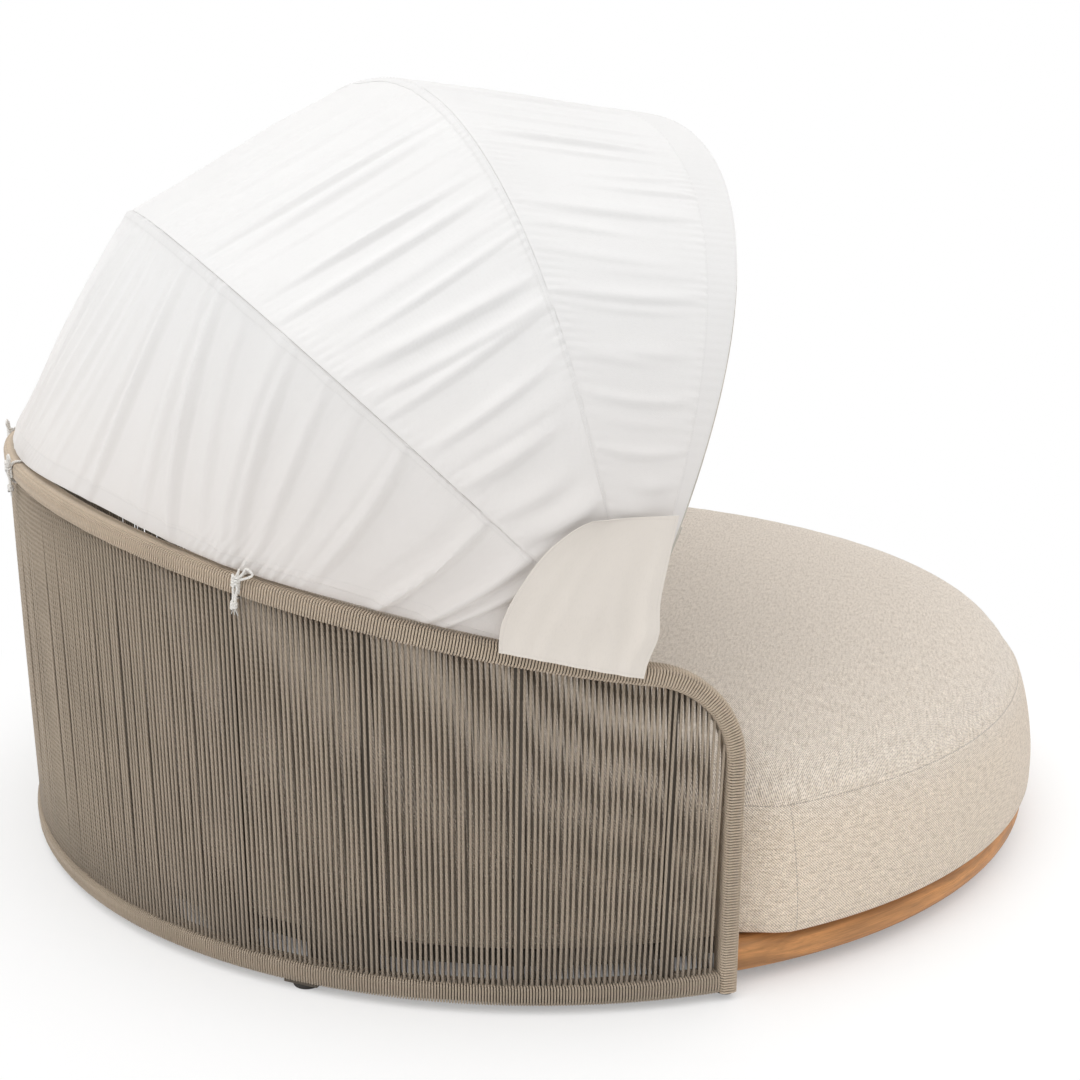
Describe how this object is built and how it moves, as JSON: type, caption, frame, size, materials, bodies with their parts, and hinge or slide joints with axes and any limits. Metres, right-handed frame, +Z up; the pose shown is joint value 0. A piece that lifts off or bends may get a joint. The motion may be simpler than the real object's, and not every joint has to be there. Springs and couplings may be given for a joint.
{
  "type": "outdoor daybed with canopy",
  "caption": "Round outdoor daybed: thick round cushion in a half-round rope-woven back, teak front ring, and a cloth canopy on bows that folds back about side hubs.",
  "frame": {"origin": "centre of the overall box at floor level", "axes": "+Z up, -Y towards the open front where a person sits down, X from side to side along the bows' pivot axis"},
  "size_m": [2.0992, 2.0812, 1.3836],
  "materials": {
    "rope": "taupe round polyester rope, matte",
    "frame_metal": "powder-coated aluminium tube",
    "deck_metal": "light grey powder coat",
    "teak": "oiled teak, satin",
    "glide": "dark moulded plastic",
    "cushion_fabric": "oatmeal coarse weave",
    "canopy_cloth": "ivory woven canopy cloth",
    "tie_cord": "white braided cord",
    "hub_steel": "brushed stainless steel"
  },
  "bodies": {
    "root": {"back_bracket_1": "deck_metal", "back_bracket_2": "deck_metal", "back_bracket_3": "deck_metal", "back_frame_base_rail_and_uprights": "frame_metal", "back_frame_rim_tube": "frame_metal", "canopy_panel_rear": "canopy_cloth", "cushion": "cushion_fabric", "deck_beam_1": "deck_metal", "deck_beam_2": "deck_metal", "deck_rim_segment_1": "deck_metal", "deck_rim_segment_2": "deck_metal", "deck_rim_segment_3": "deck_metal", "deck_rim_segment_4": "deck_metal", "deck_slat_1": "deck_metal", "deck_slat_2": "deck_metal", "deck_slat_3": "deck_metal", "deck_slat_4": "deck_metal", "deck_slat_5": "deck_metal", "foot_back_1": "glide", "foot_back_2": "glide", "foot_back_3": "glide", "foot_front_1": "glide", "foot_front_2": "glide", "foot_front_3": "glide", "hub_bracket_left": "hub_steel", "hub_bracket_right": "hub_steel", "hub_cover_left": "canopy_cloth", "hub_cover_right": "canopy_cloth", "hub_pin_left": "hub_steel", "hub_pin_right": "hub_steel", "post_cap_left": "glide", "post_cap_right": "glide", "rope_screen_inner_1": "rope", "rope_screen_inner_2": "rope", "rope_screen_inner_3": "rope", "rope_screen_inner_4": "rope", "rope_screen_inner_5": "rope", "rope_screen_outer_1": "rope", "rope_screen_outer_2": "rope", "rope_screen_outer_3": "rope", "rope_screen_outer_4": "rope", "rope_screen_outer_5": "rope", "rope_winding_base": "rope", "rope_winding_post_left": "rope", "rope_winding_post_right": "rope", "rope_winding_rim": "rope", "teak_ring_segment_1": "teak", "teak_ring_segment_2": "teak", "teak_ring_segment_3": "teak", "teak_ring_segment_4": "teak", "tie_cord_1": "tie_cord", "tie_cord_2": "tie_cord", "tie_cord_3": "tie_cord", "tie_cord_4": "tie_cord"},
    "rear_bow": {"canopy_bow_rear": "frame_metal", "canopy_panel_middle": "canopy_cloth"},
    "middle_bow": {"canopy_bow_middle": "frame_metal", "canopy_panel_front": "canopy_cloth"},
    "front_bow": {"canopy_bow_front": "frame_metal"}
  },
  "joints": [
    {"name": "rear_bow_fold", "type": "hinge", "parent": "root", "child": "rear_bow", "pos_m": [0, 0.1764, 0.59376], "axis": [-1, 0, 0], "range_deg": [0, 28], "deforming": ["canopy_panel_rear", "hub_cover_left", "hub_cover_right"]},
    {"name": "middle_bow_fold", "type": "hinge", "parent": "rear_bow", "child": "middle_bow", "pos_m": [0, 0.1764, 0.59376], "axis": [-1, 0, 0], "range_deg": [0, 26.6], "deforming": ["canopy_panel_middle"]},
    {"name": "front_bow_fold", "type": "hinge", "parent": "middle_bow", "child": "front_bow", "pos_m": [0, 0.1764, 0.59376], "axis": [-1, 0, 0], "range_deg": [0, 25], "deforming": ["canopy_panel_front"]}
  ],
  "couplings": [
    {"joint": "middle_bow_fold", "follows": "rear_bow_fold", "ratio": 0.95},
    {"joint": "front_bow_fold", "follows": "rear_bow_fold", "ratio": 0.8929}
  ]
}
